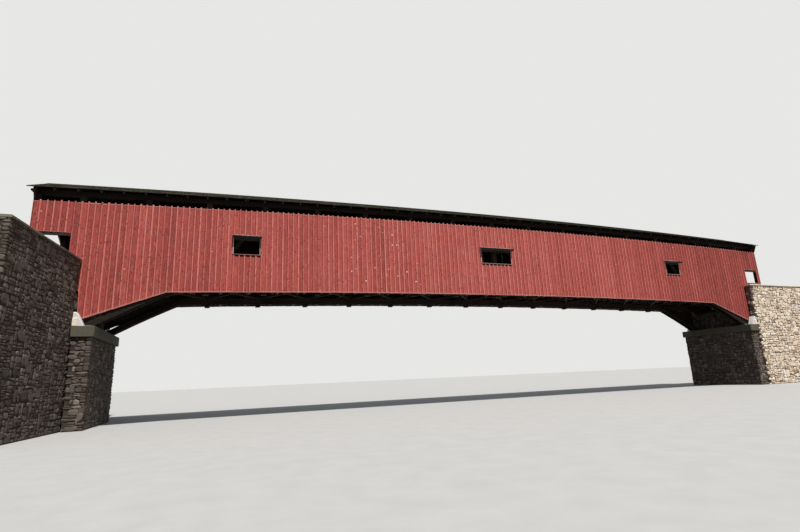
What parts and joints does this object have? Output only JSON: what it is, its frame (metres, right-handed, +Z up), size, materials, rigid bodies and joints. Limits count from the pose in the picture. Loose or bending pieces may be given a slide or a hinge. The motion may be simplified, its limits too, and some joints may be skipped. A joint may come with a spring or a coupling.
{
  "type": "covered bridge scale model",
  "caption": "Timber covered bridge at half size: arch trusses under board walls and a low gable roof, standing on stone abutments with wing walls.",
  "frame": {"origin": "bottom centre of the whole model's box, on the level of the water where the abutments stand", "axes": "+X along the bridge to the end with the straight wing walls, +Y across the bridge to the back, +Z up"},
  "size_m": [28.3, 9.05, 6.542],
  "materials": {
    "painted_boards": "matte, weathered red paint",
    "frame_timber": "rough sawn, aged",
    "floor_planks": "worn by wheels",
    "weathered_trim": "bare, grey",
    "roof_shingles": "dark, mossy",
    "rubble_stone": "rough",
    "concrete": "rough, stained"
  },
  "bodies": {
    "root": {"back_braces": "frame_timber", "back_inner_arch": "frame_timber", "back_left_wing": "rubble_stone", "back_lower_chord": "frame_timber", "back_nailers": "frame_timber", "back_outer_arch": "frame_timber", "back_posts": "frame_timber", "back_right_wing": "rubble_stone", "back_roof": "roof_shingles", "back_upper_chord": "frame_timber", "back_wall": "painted_boards", "bed_timbers": "frame_timber", "floor_beams": "frame_timber", "floor_planks": "floor_planks", "front_braces": "frame_timber", "front_inner_arch": "frame_timber", "front_left_wing": "rubble_stone", "front_lower_chord": "frame_timber", "front_nailers": "frame_timber", "front_outer_arch": "frame_timber", "front_posts": "frame_timber", "front_right_wing": "rubble_stone", "front_roof": "roof_shingles", "front_upper_chord": "frame_timber", "front_wall": "painted_boards", "knee_braces": "frame_timber", "left_abutment": "rubble_stone", "left_coping": "concrete", "left_ledge_base": "rubble_stone", "left_ledge_cap": "concrete", "left_portal": "painted_boards", "lower_bracing": "frame_timber", "portal_posts": "frame_timber", "rafters": "frame_timber", "right_abutment": "rubble_stone", "right_coping": "concrete", "right_ledge_base": "rubble_stone", "right_ledge_cap": "concrete", "right_portal": "painted_boards", "thrust_blocks": "concrete", "tie_beams": "frame_timber", "upper_bracing": "frame_timber", "window_hoods": "weathered_trim", "window_sills": "weathered_trim"}
  },
  "joints": []
}
